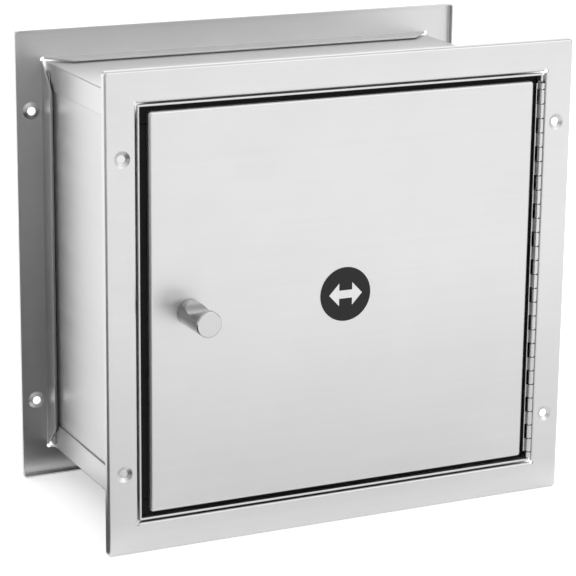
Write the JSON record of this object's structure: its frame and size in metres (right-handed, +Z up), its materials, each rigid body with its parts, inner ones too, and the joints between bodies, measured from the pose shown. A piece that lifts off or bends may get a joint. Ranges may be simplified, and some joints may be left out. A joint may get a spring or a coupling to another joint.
{
  "type": "pass-through cabinet",
  "caption": "Recessed stainless pass-through wall cabinet with a flush gasketed door, round knob and piano hinge at each end, and an interlock arm.",
  "frame": {"origin": "middle of the cabinet's footprint, at the level of the flanges' bottom edges, on which it stands when it is not in a wall", "axes": "+X runs along the wall towards the front door's hinge, +Y goes through the wall from the front end to the rear end, +Z is up"},
  "size_m": [0.35, 0.243, 0.331],
  "materials": {
    "satin_steel": "fine satin grain",
    "sheet_steel": "mill satin",
    "knob_steel": "turned satin",
    "hinge_steel": "rolled satin",
    "zinc_steel": "zinc plated",
    "black_foam": "matt closed-cell foam",
    "grey_plastic": "moulded, fine texture",
    "ferrite": "sintered",
    "black_film": "printed film, satin"
  },
  "bodies": {
    "cabinet": {"cabinet_top": "sheet_steel", "cabinet_bottom": "sheet_steel", "cabinet_left_side": "sheet_steel", "cabinet_right_side": "sheet_steel", "front_flange": "satin_steel", "front_door_frame": "sheet_steel", "front_gasket_top": "black_foam", "front_gasket_bottom": "black_foam", "front_gasket_left": "black_foam", "front_gasket_right": "black_foam", "front_hinge_frame_leaf": "hinge_steel", "front_hinge_pin": "hinge_steel", "front_catch_housing": "grey_plastic", "front_catch_magnet": "ferrite", "front_catch_screw_upper": "zinc_steel", "front_catch_screw_lower": "zinc_steel", "rear_door_frame": "sheet_steel", "rear_gasket_top": "black_foam", "rear_gasket_bottom": "black_foam", "rear_gasket_left": "black_foam", "rear_gasket_right": "black_foam", "rear_hinge_frame_leaf": "hinge_steel", "rear_hinge_pin": "hinge_steel", "rear_catch_housing": "grey_plastic", "rear_catch_magnet": "ferrite", "rear_catch_screw_upper": "zinc_steel", "rear_catch_screw_lower": "zinc_steel", "interlock_stud": "zinc_steel", "interlock_spacer": "zinc_steel", "interlock_washer": "zinc_steel", "interlock_nut": "zinc_steel"},
    "rear_trim": {"rear_flange": "satin_steel"},
    "front_door": {"front_door_skin": "satin_steel", "front_door_liner": "sheet_steel", "front_hinge_door_leaf": "hinge_steel", "front_hinge_seal": "black_foam", "front_knob": "knob_steel", "front_knob_screw": "zinc_steel", "front_knob_washer": "zinc_steel", "front_label": "black_film", "front_catch_strike": "sheet_steel", "front_interlock_keeper": "sheet_steel"},
    "rear_door": {"rear_door_skin": "satin_steel", "rear_door_liner": "sheet_steel", "rear_hinge_door_leaf": "hinge_steel", "rear_hinge_seal": "black_foam", "rear_knob": "knob_steel", "rear_knob_screw": "zinc_steel", "rear_knob_washer": "zinc_steel", "rear_label": "black_film", "rear_catch_strike": "sheet_steel", "rear_interlock_keeper": "sheet_steel"},
    "interlock": {"interlock_arm": "sheet_steel"}
  },
  "joints": [
    {"name": "front_door_hinge", "type": "hinge", "parent": "cabinet", "child": "front_door", "pos_m": [0.1512, -0.0873, 0.1655], "axis": [0, 0, 1], "range_deg": [0, 120]},
    {"name": "rear_door_hinge", "type": "hinge", "parent": "cabinet", "child": "rear_door", "pos_m": [-0.1512, 0.0873, 0.1655], "axis": [0, 0, 1], "range_deg": [0, 120]},
    {"name": "interlock_pivot", "type": "hinge", "parent": "cabinet", "child": "interlock", "pos_m": [-0.0155, 0, 0.3], "axis": [0, 0, 1], "range_deg": [-5, 5]},
    {"name": "rear_flange_adjust", "type": "slide", "parent": "cabinet", "child": "rear_trim", "axis": [0, -1, 0], "range_m": [0, 0.03]}
  ]
}
